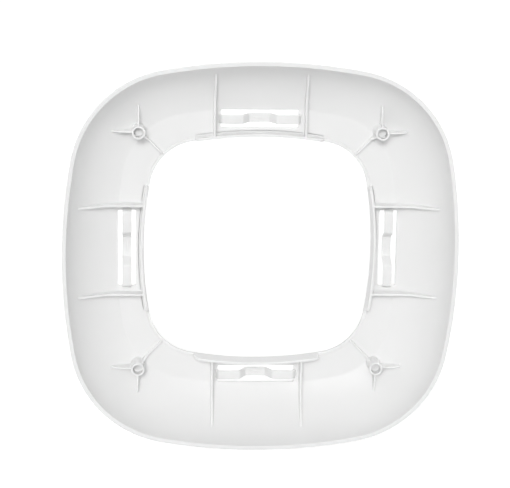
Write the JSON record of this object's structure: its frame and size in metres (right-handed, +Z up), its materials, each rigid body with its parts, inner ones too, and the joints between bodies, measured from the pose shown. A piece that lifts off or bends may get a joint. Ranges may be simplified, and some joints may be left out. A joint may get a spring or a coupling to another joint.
{
  "type": "ceiling access point trim ring",
  "caption": "Rounded-square trim ring cover of a ceiling access point, with hollow screw bosses, stiffening ribs and spring straps bridging windows beside a large opening.",
  "frame": {"origin": "centre of the bounding box: on the ring's axis, halfway between the rim and the tops of the straps' humps", "axes": "+Y runs from the open back to the room-side face, +X to the right and +Z up when seen from the open back"},
  "size_m": [0.2, 0.0344, 0.2],
  "materials": {
    "shell_plastic": "white, semi-gloss moulded plastic",
    "strap_plastic": "white, smooth moulded plastic, slightly glossier than the shell"
  },
  "bodies": {
    "cover": {"cover_shell": "shell_plastic"},
    "strap_top": {"spring_strap_top": "strap_plastic"},
    "strap_right": {"spring_strap_right": "strap_plastic"},
    "strap_bottom": {"spring_strap_bottom": "strap_plastic"},
    "strap_left": {"spring_strap_left": "strap_plastic"}
  },
  "joints": [
    {"name": "strap_top_flex", "type": "slide", "parent": "cover", "child": "strap_top", "axis": [0, -1, 0], "range_m": [0, 0.003], "stiffness_N_per_m": 50},
    {"name": "strap_right_flex", "type": "slide", "parent": "cover", "child": "strap_right", "axis": [0, -1, 0], "range_m": [0, 0.003], "stiffness_N_per_m": 50},
    {"name": "strap_bottom_flex", "type": "slide", "parent": "cover", "child": "strap_bottom", "axis": [0, -1, 0], "range_m": [0, 0.003], "stiffness_N_per_m": 50},
    {"name": "strap_left_flex", "type": "slide", "parent": "cover", "child": "strap_left", "axis": [0, -1, 0], "range_m": [0, 0.003], "stiffness_N_per_m": 50}
  ]
}
